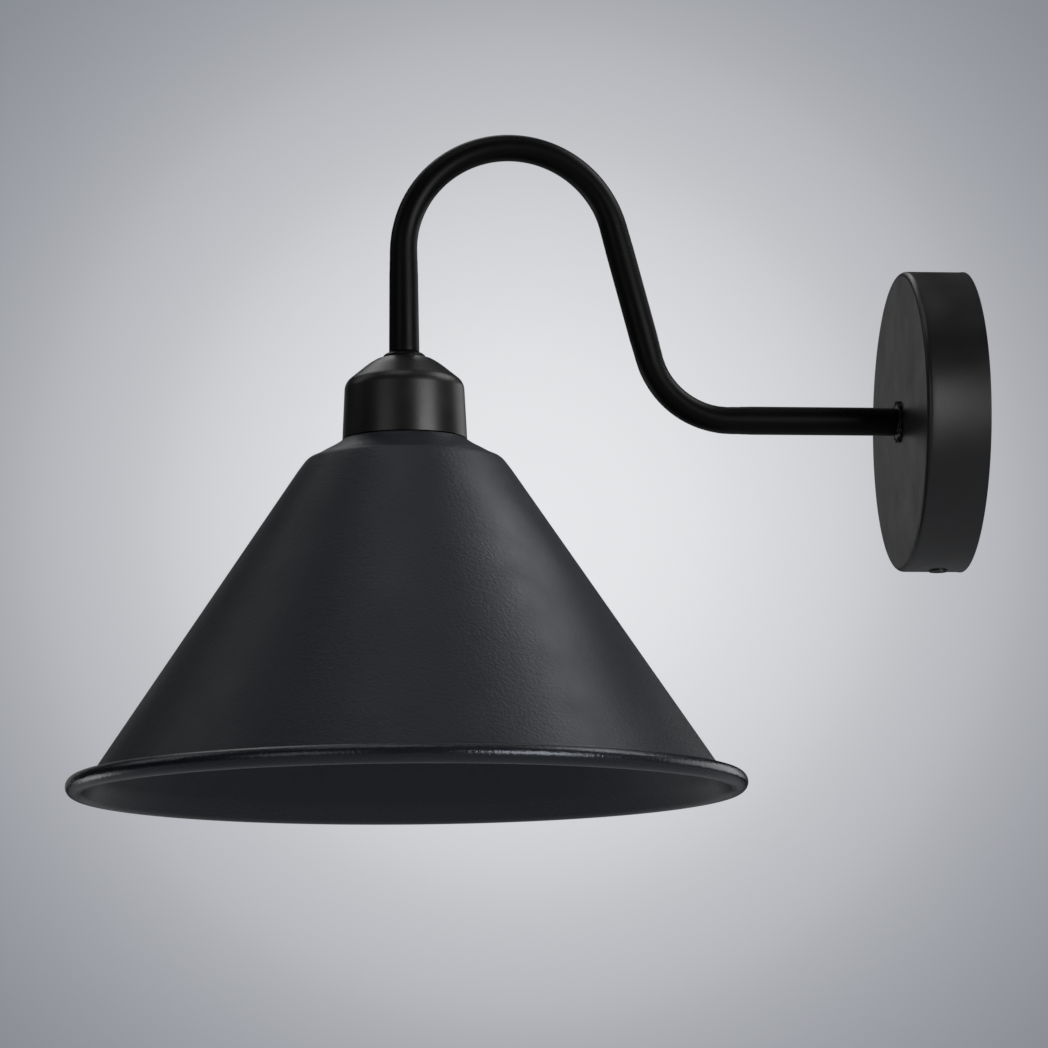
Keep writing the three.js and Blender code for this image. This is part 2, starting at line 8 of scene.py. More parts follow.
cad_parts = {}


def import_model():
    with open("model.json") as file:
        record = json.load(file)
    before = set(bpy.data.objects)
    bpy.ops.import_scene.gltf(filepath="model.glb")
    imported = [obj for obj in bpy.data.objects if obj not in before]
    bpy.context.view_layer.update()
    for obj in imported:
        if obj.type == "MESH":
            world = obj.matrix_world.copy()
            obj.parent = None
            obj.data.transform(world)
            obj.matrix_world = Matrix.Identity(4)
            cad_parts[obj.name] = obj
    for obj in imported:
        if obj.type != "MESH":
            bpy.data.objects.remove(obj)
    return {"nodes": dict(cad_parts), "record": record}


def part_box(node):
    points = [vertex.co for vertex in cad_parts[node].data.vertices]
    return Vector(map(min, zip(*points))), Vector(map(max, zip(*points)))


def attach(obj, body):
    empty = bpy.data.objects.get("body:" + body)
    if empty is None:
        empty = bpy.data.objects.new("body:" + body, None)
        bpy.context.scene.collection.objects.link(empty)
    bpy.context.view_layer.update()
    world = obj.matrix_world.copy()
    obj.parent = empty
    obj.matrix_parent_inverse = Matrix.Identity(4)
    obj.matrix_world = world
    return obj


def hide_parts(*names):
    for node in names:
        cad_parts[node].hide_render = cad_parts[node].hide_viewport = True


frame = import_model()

MM = 0.001
TAU = 2 * math.pi
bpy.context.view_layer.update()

# Measures taken from the frame -------------------------------------------------------------------------
shade_low, shade_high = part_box("shade")
cup_low, cup_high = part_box("holder_cup")
rose_low, rose_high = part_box("wall_rose")
AXIS_X = (shade_low.x + shade_high.x) / 2 / MM
SHADE_TOP = shade_high.z / MM
SHADE_FOOT = shade_low.z / MM
SHADE_RADIUS = shade_high.y / MM
CUP_TOP = cup_high.z / MM
CUP_BASE = cup_low.z / MM
CUP_RADIUS = cup_high.y / MM
ROSE_RADIUS = rose_high.z / MM
ROSE_DEPTH = -rose_low.x / MM

# Sizes shared by several pieces, in millimetres --------------------------------------------------------
TUBE_BORE = 4.75            # radius of the hole through the arm and its washers
THREAD_RADIUS = 4.45        # crests of the M10 thread at the arm's ends
WIRE_RADIUS = 1.0
GAP = 0.1                   # between pieces that rest on each other


def under_cup(radius, angle, height):
    """A point about the shade's axis, from millimetres."""
    return Vector((AXIS_X + radius * math.cos(angle), radius * math.sin(angle), height)) * MM


def on_rose(radius, angle, out):
    """A point about the rose's axis; out is the distance from the wall, in millimetres."""
    return Vector((-out, radius * math.sin(angle), radius * math.cos(angle))) * MM


# Materials ---------------------------------------------------------------------------------------------
def new_material(name):
    material = bpy.data.materials.new(name)
    material.use_nodes = True
    nodes = material.node_tree.nodes
    shader = nodes["Principled BSDF"]
    place = nodes.new("ShaderNodeTexCoord")
    return material, nodes, material.node_tree.links, shader, place.outputs["Object"]


def noise(nodes, links, place, scale, detail=2.0, roughness=0.5, stretch=None):
    texture = nodes.new("ShaderNodeTexNoise")
    texture.inputs["Scale"].default_value = scale
    texture.inputs["Detail"].default_value = detail
    texture.inputs["Roughness"].default_value = roughness
    if stretch:
        mapping = nodes.new("ShaderNodeMapping")
        mapping.inputs["Scale"].default_value = stretch
        links.new(place, mapping.inputs["Vector"])
        place = mapping.outputs["Vector"]
    links.new(place, texture.inputs["Vector"])
    return texture.outputs["Fac"]


def spread(nodes, links, value, low, high, start=0.3, end=0.7):
    """Maps a texture's value from start..end to low..high."""
    ranged = nodes.new("ShaderNodeMapRange")
    ranged.inputs["From Min"].default_value = start
    ranged.inputs["From Max"].default_value = end
    ranged.inputs["To Min"].default_value = low
    ranged.inputs["To Max"].default_value = high
    links.new(value, ranged.inputs["Value"])
    return ranged.outputs["Result"]


def blend_colours(nodes, links, value, first, second):
    mix = nodes.new("ShaderNodeMix")
    mix.data_type = "RGBA"
    mix.inputs[6].default_value = (*first, 1)
    mix.inputs[7].default_value = (*second, 1)
    links.new(value, mix.inputs["Factor"])
    return mix.outputs[2]


def bump(nodes, links, shader, layers):
    """Stacks height layers of (value, depth in metres, strength) on the shader's normal."""
    normal = None
    for value, depth, strength in layers:
        node = nodes.new("ShaderNodeBump")
        node.inputs["Distance"].default_value = depth
        node.inputs["Strength"].default_value = strength
        links.new(value, node.inputs["Height"])
        if normal:
            links.new(normal, node.inputs["Normal"])
        normal = node.outputs["Normal"]
    links.new(normal, shader.inputs["Normal"])


def paint(name, colour, lighter, roughness, peel_scale, peel_depth, grain_depth=0.0, specular=0.5):
    """Sprayed or powder-coated metal: an orange-peel skin, faint clouding and specks of dust under it."""
    material, nodes, links, shader, place = new_material(name)
    cloud = noise(nodes, links, place, 22, 3)
    peel = noise(nodes, links, place, peel_scale, 2, 0.45)
    dust = noise(nodes, links, place, 2600, 1)
    tone = blend_colours(nodes, links, spread(nodes, links, cloud, 0, 1), colour, lighter)
    speck = spread(nodes, links, dust, 0, 0.5, 0.7, 0.82)
    mix = nodes.new("ShaderNodeMix")
    mix.data_type = "RGBA"
    links.new(speck, mix.inputs["Factor"])
    links.new(tone, mix.inputs[6])
    mix.inputs[7].default_value = (*[4 * value for value in lighter], 1)
    links.new(mix.outputs[2], shader.inputs["Base Color"])
    rough = spread(nodes, links, noise(nodes, links, place, 60, 4, 0.6), roughness - 0.04, roughness + 0.05)
    links.new(rough, shader.inputs["Roughness"])
    shader.inputs["Specular IOR Level"].default_value = specular
    layers = [(peel, peel_depth, 1.0)]
    if grain_depth:
        layers.append((noise(nodes, links, place, peel_scale * 2.7, 2, 0.6), grain_depth, 1.0))
    bump(nodes, links, shader, layers)
    return material


def metal(name, colour, dull, roughness, stretch):
    """Bare or plated metal with drawn or rolled marks along one direction and duller patches."""
    material, nodes, links, shader, place = new_material(name)
    shader.inputs["Metallic"].default_value = 1.0
    marks = noise(nodes, links, place, 900, 3, 0.6, stretch)
    patches = noise(nodes, links, place, 140, 4, 0.6)
    links.new(blend_colours(nodes, links, spread(nodes, links, patches, 0, 1), colour, dull),
              shader.inputs["Base Color"])
    rough = spread(nodes, links, patches, roughness - 0.08, roughness + 0.12)
    links.new(rough, shader.inputs["Roughness"])
    bump(nodes, links, shader, [(marks, 0.00002, 0.6)])
    return material


def moulded(name, colour, second, roughness, grain_scale, grain_depth, swirl=40, soft=0.0):
    """Moulded or fired material: slow colour clouds, a fine grain and an uneven gloss."""
    material, nodes, links, shader, place = new_material(name)
    clouds = noise(nodes, links, place, swirl, 5, 0.6)
    grain = noise(nodes, links, place, grain_scale, 3, 0.6)
    links.new(blend_colours(nodes, links, spread(nodes, links, clouds, 0, 1), colour, second),
              shader.inputs["Base Color"])
    rough = spread(nodes, links, grain, roughness - 0.05, roughness + 0.08)
    links.new(rough, shader.inputs["Roughness"])
    if soft:
        shader.inputs["Subsurface Weight"].default_value = soft
        shader.inputs["Subsurface Radius"].default_value = (0.0012, 0.001, 0.0008)
        shader.inputs["Subsurface Scale"].default_value = 1.0
    bump(nodes, links, shader, [(grain, grain_depth, 1.0)])
    return material


def shade_paint():
    """The shade's charcoal powder coat, which lies thinner and glossier over the rolled bead."""
    material = paint("shade_powder_coat", (0.0122, 0.0134, 0.0175), (0.0147, 0.016, 0.0207),
                     0.46, 760, 0.00014, 0.00005)
    nodes, links = material.node_tree.nodes, material.node_tree.links
    shader = nodes["Principled BSDF"]
    shader.inputs["Specular Tint"].default_value = (0.86, 0.91, 1, 1)
    rough = shader.inputs["Roughness"].links[0].from_socket
    place = nodes["Texture Coordinate"].outputs["Object"]
    apart = nodes.new("ShaderNodeSeparateXYZ")
    links.new(place, apart.inputs["Vector"])
    on_bead = spread(nodes, links, apart.outputs["Z"], -0.26, 0.0,
                     (SHADE_FOOT + 5) * MM, (SHADE_FOOT + 9) * MM)
    total = nodes.new("ShaderNodeMath")
    total.operation = "ADD"
    links.new(rough, total.inputs[0])
    links.new(on_bead, total.inputs[1])
    links.new(total.outputs[0], shader.inputs["Roughness"])
    return material


LOOKS = {
    "shade_powder_coat": shade_paint(),
    "satin_black": paint("satin_black", (0.006, 0.006, 0.0068), (0.008, 0.008, 0.009), 0.36, 900, 0.00002),
    "arm_paint": paint("arm_paint", (0.002, 0.002, 0.0023), (0.003, 0.003, 0.0034), 0.4, 700, 0.00002,
                       specular=0.1),
    "black_screw": paint("black_screw", (0.006, 0.006, 0.006), (0.011, 0.0105, 0.01), 0.36, 2200, 0.00003),
    "zinc_plate": metal("zinc_plate", (0.5, 0.52, 0.54), (0.36, 0.37, 0.38), 0.3, (1, 6, 1)),
    "brass": metal("brass", (0.6, 0.4, 0.14), (0.42, 0.26, 0.085), 0.28, (1, 1, 8)),
}
for name, *look in (
        ("black_phenolic", (0.011, 0.009, 0.008), (0.019, 0.015, 0.012), 0.34, 1500, 0.00002),
        ("white_ceramic", (0.7, 0.68, 0.62), (0.62, 0.59, 0.52), 0.45, 2400, 0.00004, 90, 0.15),
        ("white_nylon", (0.7, 0.7, 0.66), (0.62, 0.62, 0.57), 0.42, 1800, 0.00003, 60, 0.25),
        ("brown_insulation", (0.1, 0.034, 0.015), (0.125, 0.045, 0.022), 0.4, 1600, 0.00002),
        ("blue_insulation", (0.018, 0.09, 0.36), (0.025, 0.12, 0.44), 0.4, 1600, 0.00002),
        ("green_insulation", (0.05, 0.24, 0.045), (0.07, 0.3, 0.06), 0.4, 1600, 0.00002)):
    LOOKS[name] = moulded(name, *look)

SLOT_OF = {part["node"]: part["material_slot"] for part in frame["record"]["subparts"]}
BODIES = frame["record"]["behaviour"]["bodies"]
BODY_OF = {node: body for body, nodes in BODIES.items() for node in nodes}


# Mesh helpers ------------------------------------------------------------------------------------------
def show(name, mesh, node, angle=38):
    """Puts a finished mesh in the scene in place of a CAD node."""
    mesh.shade_smooth()
    mesh.set_sharp_from_angle(angle=math.radians(angle))
    piece = bpy.data.objects.new(name, mesh)
    bpy.context.scene.collection.objects.link(piece)
    mesh.materials.clear()
    mesh.materials.append(LOOKS[SLOT_OF[node]])
    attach(piece, BODY_OF[node])
    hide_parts(node)
    return piece


def closed_mesh(name, points, faces):
    mesh = bpy.data.meshes.new(name)
    mesh.from_pydata([tuple(p) for p in points], [], faces)
    form = bmesh.new()
    form.from_mesh(mesh)
    bmesh.ops.remove_doubles(form, verts=form.verts, dist=1e-7)
    bmesh.ops.recalc_face_normals(form, faces=form.faces)
    form.to_mesh(mesh)
    form.free()
    return mesh


def turned(name, outline, place, segments):
    """A closed body of revolution. outline is a list of (radius, height), or a function of the angle that
    gives one, and place turns (radius, angle, height) into a point."""
    points, faces = [], []
    for i in range(segments):
        angle = TAU * i / segments
        ring = outline(angle) if callable(outline) else outline
        points += [place(radius, angle, height) for radius, height in ring]
    count = len(points) // segments
    for i in range(segments):
        near, far = i * count, (i + 1) % segments * count
        for j in range(count):
            k = (j + 1) % count
            faces.append((near + j, far + j, far + k, near + k))
    return closed_mesh(name, points, faces)


def arc(cx, cy, radius, start, end, steps):
    """Points on an arc, angles in degrees."""
    angles = [math.radians(start + (end - start) * i / steps) for i in range(steps + 1)]
    return [(cx + radius * math.cos(a), cy + radius * math.sin(a)) for a in angles]


def eased(outline, radius, steps=3, closed=True):
    """Rounds each corner of an outline by up to the given radius. radius may be one number for each point."""
    made = []
    count = len(outline)
    for i, (x, y) in enumerate(outline):
        here = Vector((x, y))
        size = radius[i] if isinstance(radius, (list, tuple)) else radius
        at_end = not closed and i in (0, count - 1)
        before = Vector(outline[i - 1]) - here
        after = Vector(outline[(i + 1) % count]) - here
        if size <= 0 or at_end or before.length < 1e-6 or after.length < 1e-6:
            made.append((x, y))
            continue
        a = here + before.normalized() * min(size, before.length * 0.45)
        b = here + after.normalized() * min(size, after.length * 0.45)
        for s in range(steps + 1):
            t = s / steps
            p = a * (1 - t) ** 2 + here * (2 * t * (1 - t)) + b * t ** 2
            made.append((p.x, p.y))
    return made


def curved(points, steps=5):
    """A smooth curve through all the points."""
    made = []
    last = len(points) - 1
    for i in range(last):
        p0, p1 = Vector(points[max(i - 1, 0)]), Vector(points[i])
        p2, p3 = Vector(points[i + 1]), Vector(points[min(i + 2, last)])
        for s in range(steps):
            t = s / steps
            p = 0.5 * (2 * p1 + (p2 - p0) * t + (2 * p0 - 5 * p1 + 4 * p2 - p3) * t ** 2
                       + (3 * p1 - p0 - 3 * p2 + p3) * t ** 3)
            made.append(tuple(p))
    made.append(tuple(points[last]))
    return made


def sheet(face, thickness):
    """The closed outline of a sheet whose body lies on the right-hand side of the walk along its face."""
    back = []
    last = len(face) - 1
    for i, (x, y) in enumerate(face):
        ahead = Vector(face[min(i + 1, last)]) - Vector((x, y))
        behind = Vector((x, y)) - Vector(face[max(i - 1, 0)])
        ahead = ahead.normalized() if i < last else behind.normalized()
        behind = behind.normalized() if i else ahead
        along = (ahead + behind).normalized()
        mitre = thickness / max(along.dot(ahead), 0.5)
        back.append((x + along.y * mitre, y - along.x * mitre))
    return list(face) + back[::-1]


def swept(name, line, section, closed_ends=True):
    """A bar along a line of (point, direction) pairs, in metres. section(i) gives its outline there as
    (sideways, upwards) pairs in metres."""
    points, faces = [], []
    side = None
    for i, (p, along) in enumerate(line):
        side = side - along * side.dot(along) if side else Vector((0, 1, 0)) - along * along.y
        side.normalize()
        up = along.cross(side)
        points += [p + side * a + up * b for a, b in section(i)]
    count = len(points) // len(line)
    for i in range(len(line) - 1):
        for j in range(count):
            k = (j + 1) % count
            faces.append((i * count + j, i * count + k, (i + 1) * count + k, (i + 1) * count + j))
    if closed_ends:
        faces.append(tuple(range(count))[::-1])
        faces.append(tuple((len(line) - 1) * count + j for j in range(count)))
    return closed_mesh(name, points, faces)


def circle(radius, count):
    return [(radius * math.cos(TAU * j / count), radius * math.sin(TAU * j / count)) for j in range(count)]


def with_directions(points):
    """Each point of a line with the line's direction there."""
    last = len(points) - 1
    return [(p, (points[min(i + 1, last)] - points[max(i - 1, 0)]).normalized())
            for i, p in enumerate(points)]


def refined(node, edge):
    """A copy of a CAD node with its flat faces whole again and its sharp edges broken."""
    mesh = frame["nodes"][node].data.copy()
    mesh.name = node + "_fine"
    form = bmesh.new()
    form.from_mesh(mesh)
    bmesh.ops.remove_doubles(form, verts=form.verts, dist=2e-6)
    bmesh.ops.dissolve_limit(form, angle_limit=math.radians(2), verts=form.verts, edges=form.edges)
    corner = math.radians(30)
    sharp = [e for e in form.edges if len(e.link_faces) == 2 and e.calc_face_angle(0) > corner]
    bmesh.ops.bevel(form, geom=sharp, offset=edge * MM, segments=2, profile=0.6, affect="EDGES",
                    clamp_overlap=True)
    form.to_mesh(mesh)
    form.free()
    piece = show(mesh.name, mesh, node, 40)
    even = piece.modifiers.new("even_flats", "WEIGHTED_NORMAL")
    even.keep_sharp = True
    return piece


# The shade ---------------------------------------------------------------------------------------------
SHADE_SHEET = 0.9
BEAD = 3.7                  # section of the rolled bead
BEAD_MID = (SHADE_RADIUS - BEAD, SHADE_FOOT + BEAD)


def shade():
    roll = BEAD - SHADE_SHEET
    top = eased([(20.6, SHADE_TOP), (24.4, SHADE_TOP), (25.8, SHADE_TOP - 1)], 1.2, 4, closed=False)[:-1]
    cone_top = (42.4, -22.0)
    shoulder = curved([(26.2, -10.4), (28.6, -11.9), (31.6, -13.5), (34.4, -15.1), (36.4, -16.1),
                       (38.0, -16.8), (39.2, -17.8), (40.4, -19.3), cone_top], 4)
    foot = arc(*BEAD_MID, roll, 213.4, 522, 40)
    steps = 24
    cone = [tuple(a + (b - a) * (i / steps) for a, b in zip(cone_top, foot[0])) for i in range(1, steps)]
    outline = sheet(top + shoulder + cone + foot, SHADE_SHEET)
    return show("shade_spun", turned("shade_spun", outline, under_cup, 240), "shade", 45)


# The cup and its collar --------------------------------------------------------------------------------
def cup():
    crown = curved([(4.85, CUP_TOP), (8.8, CUP_TOP), (10.3, CUP_TOP - 0.3), (11.7, 22.9), (14.4, 21.15),
                    (17.2, 18.95)], 4)
    dome = arc(17.7, 10.8, 6, 53, 2.3, 16)
    side = [(CUP_RADIUS - 0.12, CUP_BASE + 3), (CUP_RADIUS, CUP_BASE)]
    outline = sheet(crown + dome + side, 1)
    return show("cup_spun", turned("cup_spun", outline, under_cup, 160), "holder_cup", 45)


def collar():
    foot, top = CUP_TOP + GAP, CUP_TOP + 2.05
    outline = eased([(TUBE_BORE, foot), (8.4, foot), (8.4, CUP_TOP + 0.9), (7.2, CUP_TOP + 1.9), (5.6, top),
                     (TUBE_BORE, top)], [0.05, 0.15, 0.5, 0.6, 0.1, 0.05], 4)
    return show("collar_fine", turned("collar_fine", outline, under_cup, 96), "collar_washer")


# The arm -----------------------------------------------------------------------------------------------
TUBE_RADIUS = 5.6
TUBE_FLARE = 0.4            # added to the radius at the tube's foot
BEND_SQUASH = 0.32          # taken off the radius across a bend as tight as the arch
TURNED_BACK = 0.7           # length of the rounding at each end
ARCH_RADIUS = 42.7          # the upper bend, at the tube's centre line
ARCH_SPRING = 67            # height where the upright stretch meets the arch
SLOPE = math.radians(75.5)  # the falling stretch, from level
KNEE_RADIUS = 33
TUBE_FOOT = CUP_TOP + 2.1
TUBE_WALL_END = ROSE_DEPTH + 1.4


def arm_stretches():
    """The arm as (length, curvature) stretches: up, over the arch, down the slope, the knee, to the wall."""
    drop = ARCH_SPRING + ARCH_RADIUS * math.cos(SLOPE) - KNEE_RADIUS * (1 - math.cos(SLOPE))
    slope = drop / math.sin(SLOPE)
    arch_end = AXIS_X + ARCH_RADIUS * (1 + math.sin(SLOPE))
    knee_end = arch_end + slope * math.cos(SLOPE) + KNEE_RADIUS * math.sin(SLOPE)
    return [(ARCH_SPRING - TUBE_FOOT, 0), (ARCH_RADIUS * (math.pi / 2 + SLOPE), -1 / ARCH_RADIUS), (slope, 0),
            (KNEE_RADIUS * SLOPE, 1 / KNEE_RADIUS), (-TUBE_WALL_END - knee_end, 0)]


STRETCHES = arm_stretches()
ARM_LENGTH = sum(length for length, _ in STRETCHES)


def arm_at(distance):
    """The arm's centre line: the point, the direction and the curvature at a distance from its foot."""
    x, z, heading, bend = AXIS_X, TUBE_FOOT, math.pi / 2, 0
    for length, curvature in STRETCHES:
        step = min(distance, length)
        turn = step * curvature
        chord = 2 * math.sin(turn / 2) / curvature if curvature else step
        x += chord * math.cos(heading + turn / 2)
        z += chord * math.sin(heading + turn / 2)
        heading += turn
        bend = curvature
        distance -= step
        if distance <= 1e-9:
            break
    return Vector((x, 0, z)) * MM, Vector((math.cos(heading), 0, math.sin(heading))), bend


def arm():
    """The bent tube. It goes slightly oval in the bends and its ends are turned back a little."""
    ends = [0, 0.15, 0.35, TURNED_BACK]
    spans, sides = 220, 48
    stations = ends + [TURNED_BACK + (ARM_LENGTH - 2 * TURNED_BACK) * i / spans for i in range(1, spans)]
    stations += [ARM_LENGTH - e for e in reversed(ends)]
    line, flats = [], []
    for distance in stations:
        p, along, _ = arm_at(distance)
        window = [abs(arm_at(min(max(distance + d, 0), ARM_LENGTH))[2]) for d in (-8, -4, 0, 4, 8)]
        flats.append(sum(w * ARCH_RADIUS for w in window) / len(window))
        line.append((p, along))

    def section(i):
        distance = stations[i]
        from_end = min(distance, ARM_LENGTH - distance)
        turned_back = 0.45 * max(0, 1 - from_end / TURNED_BACK) ** 2
        flare = TUBE_FLARE * max(0, 1 - distance / (ARCH_SPRING - TUBE_FOOT))
        across = TUBE_RADIUS + flare - turned_back
        within = TUBE_RADIUS + flare - BEND_SQUASH * min(flats[i], 1.2) - turned_back
        return [(a * across * MM, b * within * MM) for a, b in circle(1, sides)]

    outer = swept("arm_outer", line, section, closed_ends=False)
    inner = swept("arm_inner", line, lambda i: circle(TUBE_BORE * MM, sides), closed_ends=False)
    form = bmesh.new()
    form.from_mesh(outer)
    form.from_mesh(inner)
    edges = [e for e in form.edges if e.is_boundary]
    for centre in (line[0][0], line[-1][0]):
        near = [e for e in edges if (e.verts[0].co - centre).length < 0.01]
        bmesh.ops.bridge_loops(form, edges=near)
    bmesh.ops.recalc_face_normals(form, faces=form.faces)
    mesh = bpy.data.meshes.new("arm_bent")
    form.to_mesh(mesh)
    form.free()
    bpy.data.meshes.remove(outer)
    bpy.data.meshes.remove(inner)
    return show("arm_bent", mesh, "arm_tube", 40)


# The rose ----------------------------------------------------------------------------------------------
def rose():
    edge = 2.2
    wall = ROSE_RADIUS - 0.12
    side = [(ROSE_RADIUS, 0), (ROSE_RADIUS, 0.6), (wall, 1.5), (wall, ROSE_DEPTH - 4)]
    bend = arc(wall - edge, ROSE_DEPTH - edge, edge, 0, 90, 12)
    front = [(radius, ROSE_DEPTH) for radius in (50, 30, 12, 4.95)]
    outline = sheet((side + bend + front)[::-1], 1)
    return show("rose_pressed", turned("rose_pressed", outline, on_rose, 240), "wall_rose", 40)


# The screws --------------------------------------------------------------------------------------------
def slotted_screw(name, node, place, head, height, shank, length, crossed=False):
    """A raised-head screw on its own axis, the head's underside at zero, with a slot or a cross cut in it.
    place turns local millimetres into a point; head and shank are radii."""
    dome = arc(0, height - head * 1.6, head * 1.6, 90, 55, 7)
    dome = [(x, y) for x, y in dome if x < head * 0.93]
    outline = [(0.02, -length), (shank * 0.75, -length), (shank, 0.6 - length), (shank, 0),
               (head, 0), (head, height * 0.45), (head * 0.95, height * 0.7)] + dome[::-1]
    outline[-1] = (0.02, height)
    body = turned(name, outline, lambda r, a, h: Vector((r * math.cos(a), r * math.sin(a), h)), 40)
    return show(name, place_mesh(cut_slot(body, head, height, crossed), place), node, 35)


def cut_slot(mesh, head, height, crossed):
    """Cuts the driver's slot, or cross, into a screw's head with a boolean."""
    body = bpy.data.objects.new("cutting", mesh)
    bpy.context.scene.collection.objects.link(body)
    tools = []
    for angle in ((0, math.pi / 2) if crossed else (0,)):
        half = head * (0.55 if crossed else 1.3)
        form = bmesh.new()
        cube = bmesh.ops.create_cube(form, size=1)["verts"]
        size = Matrix.Diagonal((2 * half, head * 0.26, height * 1.2, 1))
        lift = Matrix.Translation((0, 0, height * 1.05))
        bmesh.ops.transform(form, verts=cube, matrix=lift @ Matrix.Rotation(angle, 4, "Z") @ size)
        tool_mesh = bpy.data.meshes.new("tool")
        form.to_mesh(tool_mesh)
        form.free()
        tool = bpy.data.objects.new("tool", tool_mesh)
        bpy.context.scene.collection.objects.link(tool)
        tools.append(tool)
        modifier = body.modifiers.new("cut", "BOOLEAN")
        modifier.operation = "DIFFERENCE"
        modifier.solver = "EXACT"
        modifier.object = tool
    bpy.context.view_layer.update()
    result = bpy.data.meshes.new_from_object(body.evaluated_get(bpy.context.evaluated_depsgraph_get()))
    for thing in [body, *tools]:
        bpy.data.objects.remove(thing)
    return result


def place_mesh(mesh, place):
    """Moves a mesh by place, and turns its faces out again where place mirrors it."""
    for vertex in mesh.vertices:
        vertex.co = place(*vertex.co)
    origin = place(0, 0, 0)
    if Matrix([place(*unit) - origin for unit in ((1, 0, 0), (0, 1, 0), (0, 0, 1))]).determinant() < 0:
        mesh.flip_normals()
    return mesh


# The threaded tube ends, the toothed washer and the wires ----------------------------------------------
def nipple(name, node, low, high, place):
    """A tube with an M10 right-hand thread of 1 mm pitch, so that heights in millimetres are also turns."""
    heights = [low + 0.125 * i for i in range(int((high - low) / 0.125) + 1)]

    def outline(angle):
        outer = []
        for h in heights:
            phase = (h - angle / TAU) % 1
            ends = min(1, (h - low) / 0.6, (high - h) / 0.6)
            outer.append((THREAD_RADIUS - 0.32 * abs(2 * phase - 1) - 0.3 * (1 - ends), h))
        bore = 3.3
        return outer + [(bore, high), (bore, low)]

    return show(name, turned(name, outline, place, 64), node, 60)


def tooth_washer():
    """A thin ring with twisted teeth round its rim."""
    middle = ROSE_DEPTH + GAP + 0.6
    low, high, rim = middle - 0.4, middle + 0.4, 7.1
    form = bmesh.new()
    outline = eased([(TUBE_BORE, low), (rim, low), (rim, high), (TUBE_BORE, high)], 0.1, 2)
    form.from_mesh(turned("washer_ring", outline, on_rose, 96))
    teeth = 14
    to_wall = Matrix(((0, 0, -1, 0), (0, 1, 0, 0), (1, 0, 0, 0), (0, 0, 0, 1)))
    on_front = to_wall @ Matrix.Translation((0, 0, middle * MM))
    for i in range(teeth):
        tooth = bmesh.ops.create_cube(form, size=1)["verts"]
        size = Matrix.Diagonal((1.7 * MM, 1.9 * MM, 0.8 * MM, 1))
        twist = Matrix.Rotation(math.radians(17), 4, "X")
        out = Matrix.Translation((7.5 * MM, 0, 0)) @ twist @ size
        spin = Matrix.Rotation(TAU * (i + 0.25) / teeth, 4, "Z")
        bmesh.ops.transform(form, verts=tooth, matrix=on_front @ spin @ out)
    mesh = bpy.data.meshes.new("tooth_washer_fine")
    form.to_mesh(mesh)
    form.free()
    return show("tooth_washer_fine", mesh, "tooth_washer", 30)


def wire(name, node, points):
    """An insulated wire along a smooth route through the given points, in millimetres."""
    route = curved([tuple(Vector(p)) for p in points], 6)
    line = with_directions([Vector(p) * MM for p in route])
    return show(name, swept(name, line, lambda i: circle(WIRE_RADIUS * MM, 20)), node, 60)


BLOCK_OUT = 7.8             # wall to the terminal block's sleeves
BLOCK_WAY = 5               # from the middle to each sleeve
BLOCK_LOW = 14
TERMINAL = 9                # from the lampholder's axis to each terminal screw


def supply_wire(name, node, side):
    """The live (side -1) or neutral (side 1) wire: terminal block, arm, lampholder terminal."""
    y = side * 1.15
    in_rose = [(-BLOCK_OUT, side * BLOCK_WAY, BLOCK_LOW + 4), (-BLOCK_OUT, side * BLOCK_WAY, BLOCK_LOW - 2),
               (-BLOCK_OUT - 0.6, side * (BLOCK_WAY - 1.5), 6.5), (-BLOCK_OUT - 3.6, side * 2, 1.6),
               (-16, y, 0)]
    samples = 40
    in_arm = []
    for i in range(samples + 1):
        p = arm_at(ARM_LENGTH * (1 - i / samples))[0] / MM
        in_arm.append((p.x, y, p.z))
    in_holder = [(AXIS_X, y, 10), (AXIS_X + side * 1.6, side * 1.8, 5), (AXIS_X + side * 5.2, side * 3, 0.2),
                 (AXIS_X + side * TERMINAL, side * 3.7, -2.1)]
    return wire(name, node, in_rose + in_arm + in_holder)


def earth_lead():
    """The lead from the tag on the rose's nut to the tag on the bracket, drawn as (up, y, out)."""
    above_tag = WIRE_RADIUS + 0.7
    high, low = ROSE_DEPTH - 1.2 - above_tag, 1.6 + above_tag
    points = [(-12, 0, high), (-17, 0, high - 0.3), (-24, 1, high - 3), (-29.5, 2, 13), (-30.5, 1.4, 8),
              (-28, 0.4, low + 1), (-24.6, 0, low), (-22.5, 0, low)]
    return wire("earth_lead_fine", "earth_lead", [(-z, y, x) for x, y, z in points])


# The lampholder ----------------------------------------------------------------------------------------
SKIRT_RADIUS, SKIRT_FOOT = 20.0, -37.0
FLANGE_TOP, FLANGE_FOOT = -2.7, -8.9


